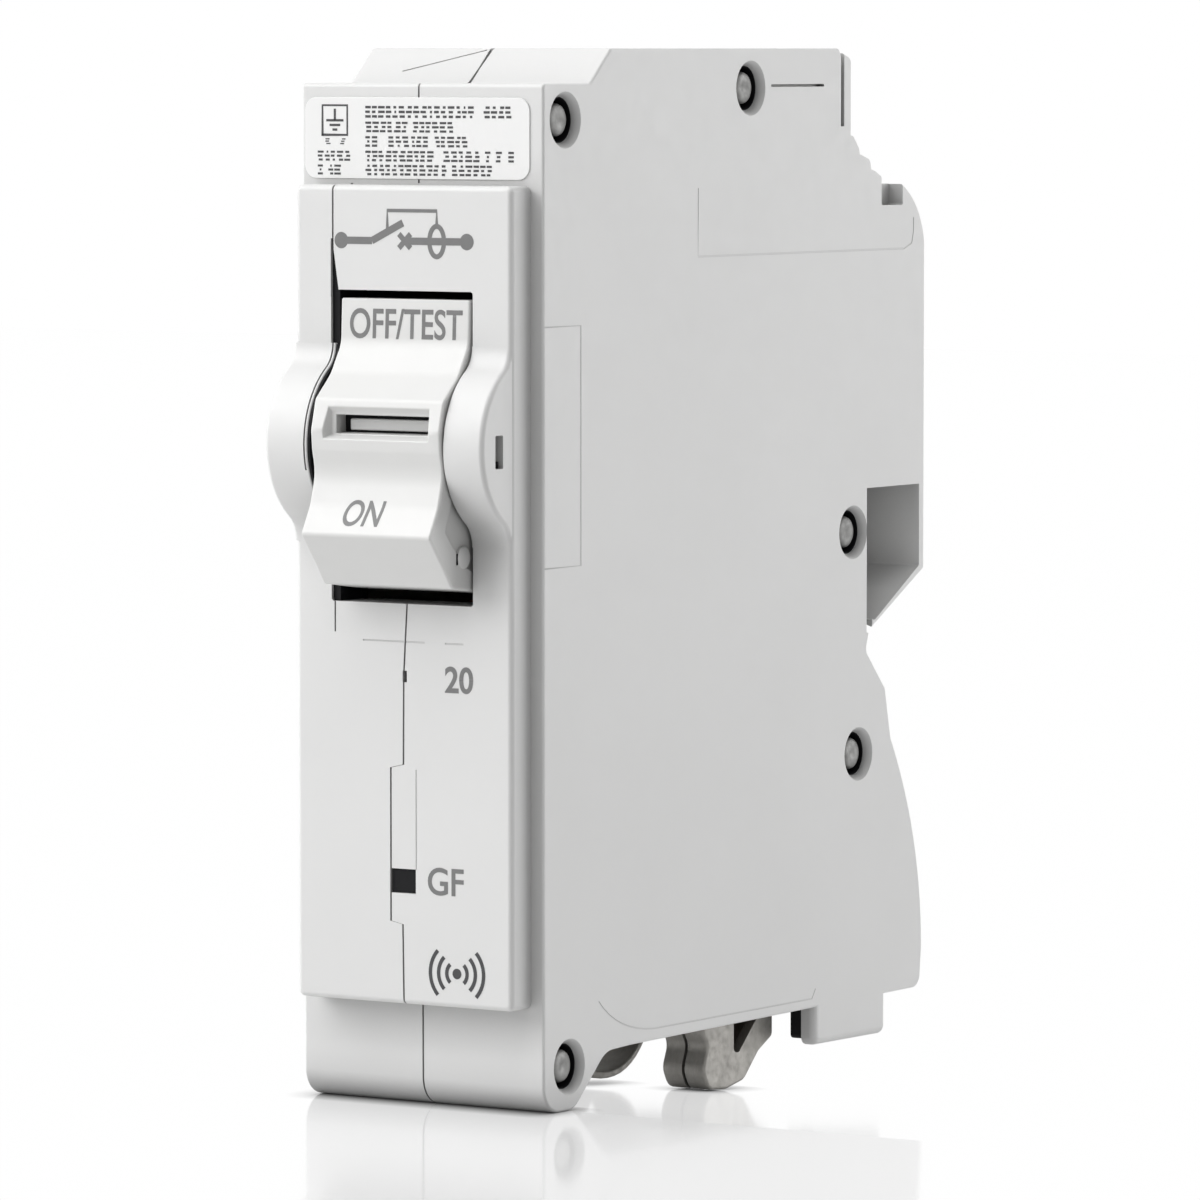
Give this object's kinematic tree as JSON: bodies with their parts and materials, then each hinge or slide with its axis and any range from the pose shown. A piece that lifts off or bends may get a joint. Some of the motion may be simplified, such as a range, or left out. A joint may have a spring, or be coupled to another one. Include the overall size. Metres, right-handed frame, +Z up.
{
  "type": "ground-fault circuit breaker",
  "caption": "Single-pole plug-on ground-fault breaker: riveted two-half case, rocking handle, contacts, arc chute, trip unit, sensor ring and circuit board.",
  "frame": {"origin": "centre of the whole breaker's box in plan, at the height of its lowest point, the load jaw", "axes": "+X to the breaker's right seen from its handle side, +Y to its back where it plugs on, +Z up, handle on at rest"},
  "size_m": [0.025, 0.0726, 0.0931],
  "materials": {
    "case_plastic": "fine moulded texture, semi-matte",
    "handle_plastic": "smooth moulded, semi-matte",
    "label_film": "satin film",
    "red_fibre_board": "matte pressed insulation",
    "vulcanised_fibre": "matte",
    "zinc_steel": "zinc plated, rolled",
    "dark_steel": "blackened",
    "copper": "bare copper",
    "tinned_copper": "tin plated, stamped",
    "silver_alloy": "silver alloy contact button",
    "brass": "turned",
    "circuit_laminate": "solder mask",
    "black_moulding": "moulded epoxy",
    "ferrite": "fired, matte",
    "enamelled_wire": "enamelled",
    "blue_epoxy": "dipped epoxy",
    "nylon": "natural moulded"
  },
  "bodies": {
    "case": {"left_case_half": "case_plastic", "right_case_half": "case_plastic", "rating_label": "label_film", "case_rivet_1": "zinc_steel", "case_rivet_2": "zinc_steel", "case_rivet_3": "zinc_steel", "case_rivet_4": "zinc_steel", "case_rivet_5": "zinc_steel", "mid_partition": "red_fibre_board", "handle_pivot_pin": "zinc_steel", "contact_arm_pin": "zinc_steel", "fixed_contact_tip": "silver_alloy", "fixed_contact_bar": "copper", "line_jaw": "tinned_copper", "line_jaw_spring": "zinc_steel", "arc_chute_frame": "vulcanised_fibre", "arc_plate_1": "dark_steel", "arc_plate_2": "dark_steel", "arc_plate_3": "dark_steel", "arc_plate_4": "dark_steel", "arc_plate_5": "dark_steel", "cradle_pivot_pin": "zinc_steel", "operating_spring": "zinc_steel", "bimetal_strip": "brass", "magnet_yoke": "dark_steel", "armature_pin": "zinc_steel", "calibration_screw": "brass", "flexible_braid": "copper", "sensor_core": "ferrite", "sensor_winding": "enamelled_wire", "load_conductor": "copper", "neutral_conductor": "tinned_copper", "load_jaw": "tinned_copper", "neutral_contact": "tinned_copper", "circuit_board": "circuit_laminate", "controller_chip": "black_moulding", "surge_varistor": "blue_epoxy", "filter_capacitor": "black_moulding", "rectifier_diode": "black_moulding", "dropping_resistor": "nylon", "solenoid_frame": "dark_steel", "solenoid_bobbin": "nylon", "solenoid_winding": "enamelled_wire", "plunger_spring": "zinc_steel", "trip_lever_pin": "zinc_steel", "test_contact_leaf": "brass", "indicator_lens": "black_moulding", "indicator_lamp": "nylon"},
    "handle": {"handle": "handle_plastic"},
    "moving_contact": {"contact_arm": "copper", "moving_contact_tip": "silver_alloy"},
    "cradle": {"trip_cradle": "dark_steel"},
    "armature_plate": {"armature": "zinc_steel"},
    "plunger": {"solenoid_plunger": "zinc_steel"},
    "trip_lever_body": {"trip_lever": "black_moulding"}
  },
  "joints": [
    {"name": "handle_turn", "type": "hinge", "parent": "case", "child": "handle", "pos_m": [0, -0.0265, 0.05915], "axis": [-1, 0, 0], "range_deg": [0, 60]},
    {"name": "contact_swing", "type": "hinge", "parent": "case", "child": "moving_contact", "pos_m": [0, -0.0086, 0.06185], "axis": [-1, 0, 0], "range_deg": [0, 18], "deforming": ["operating_spring"]},
    {"name": "cradle_release", "type": "hinge", "parent": "case", "child": "cradle", "pos_m": [0, -0.0022, 0.07835], "axis": [-1, 0, 0], "range_deg": [0, 12], "deforming": ["operating_spring"]},
    {"name": "plunger_slide", "type": "slide", "parent": "case", "child": "plunger", "axis": [0, 1, 0], "range_m": [0, 0.0012], "stiffness_N_per_m": 20, "springref_m": -0.0004, "deforming": ["plunger_spring"]},
    {"name": "lever_turn", "type": "hinge", "parent": "case", "child": "trip_lever_body", "pos_m": [0, 0.0164, 0.08125], "axis": [1, 0, 0], "range_deg": [0, 5.2]},
    {"name": "armature_swing", "type": "hinge", "parent": "case", "child": "armature_plate", "pos_m": [0, 0.0201, 0.08085], "axis": [1, 0, 0], "range_deg": [0, 3.1]}
  ],
  "couplings": [
    {"joint": "contact_swing", "follows": "handle_turn", "ratio": 0.3},
    {"joint": "lever_turn", "follows": "plunger_slide", "rad_per_m": 75},
    {"joint": "armature_swing", "follows": "plunger_slide", "rad_per_m": 44}
  ]
}
